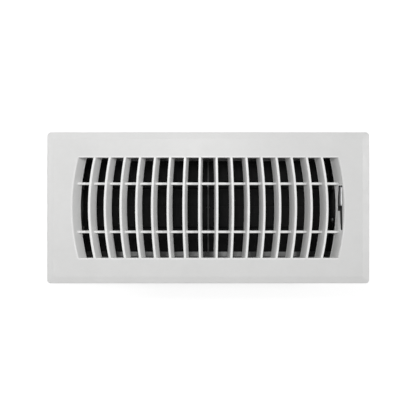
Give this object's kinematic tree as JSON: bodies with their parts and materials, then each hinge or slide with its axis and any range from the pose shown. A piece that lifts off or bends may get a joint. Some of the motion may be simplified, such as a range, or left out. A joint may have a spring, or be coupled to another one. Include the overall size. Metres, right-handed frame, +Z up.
{
  "type": "floor register",
  "caption": "Louvred floor register: bevelled rectangular face with bowed, fanned louvres over a drop-in box whose linked damper blades are worked by a thumb lever.",
  "frame": {"origin": "middle of the rim under the face, on the floor plane that the face rests on", "axes": "+Z up into the room, +X along the face towards the lever end, +Y across the face towards the side that the shut lever lies on"},
  "size_m": [0.292, 0.137, 0.0616],
  "materials": {
    "white_plastic": "satin moulded white",
    "grey_plastic": "fine matt moulded dark grey",
    "black_plastic": "fine matt moulded black",
    "zinc_steel": "bright zinc plate"
  },
  "bodies": {
    "housing": {"faceplate": "white_plastic", "damper_box": "grey_plastic"},
    "rear_damper": {"rear_pivot_rod": "zinc_steel", "rear_blade_left": "black_plastic", "rear_blade_right": "black_plastic", "rear_crank": "black_plastic", "rear_link_rivet": "zinc_steel", "rear_push_nut": "zinc_steel"},
    "front_damper": {"front_pivot_rod": "zinc_steel", "front_blade_left": "black_plastic", "front_blade_right": "black_plastic", "front_crank": "black_plastic", "front_link_rivet": "zinc_steel", "front_push_nut": "zinc_steel"},
    "lever": {"thumb_lever": "zinc_steel"}
  },
  "joints": [
    {"name": "rear_damper_turn", "type": "hinge", "parent": "housing", "child": "rear_damper", "pos_m": [0, 0.0221, -0.03253], "axis": [1, 0, 0], "range_deg": [0, 80]},
    {"name": "front_damper_turn", "type": "hinge", "parent": "housing", "child": "front_damper", "pos_m": [0, -0.0221, -0.03253], "axis": [1, 0, 0], "range_deg": [0, 80]},
    {"name": "lever_swing", "type": "hinge", "parent": "rear_damper", "child": "lever", "pos_m": [0.1214, 0.03265, -0.01996], "axis": [1, 0, 0], "range_deg": [-80, 0]}
  ],
  "couplings": [
    {"joint": "front_damper_turn", "follows": "rear_damper_turn", "ratio": 1},
    {"joint": "lever_swing", "follows": "rear_damper_turn", "ratio": -1}
  ]
}
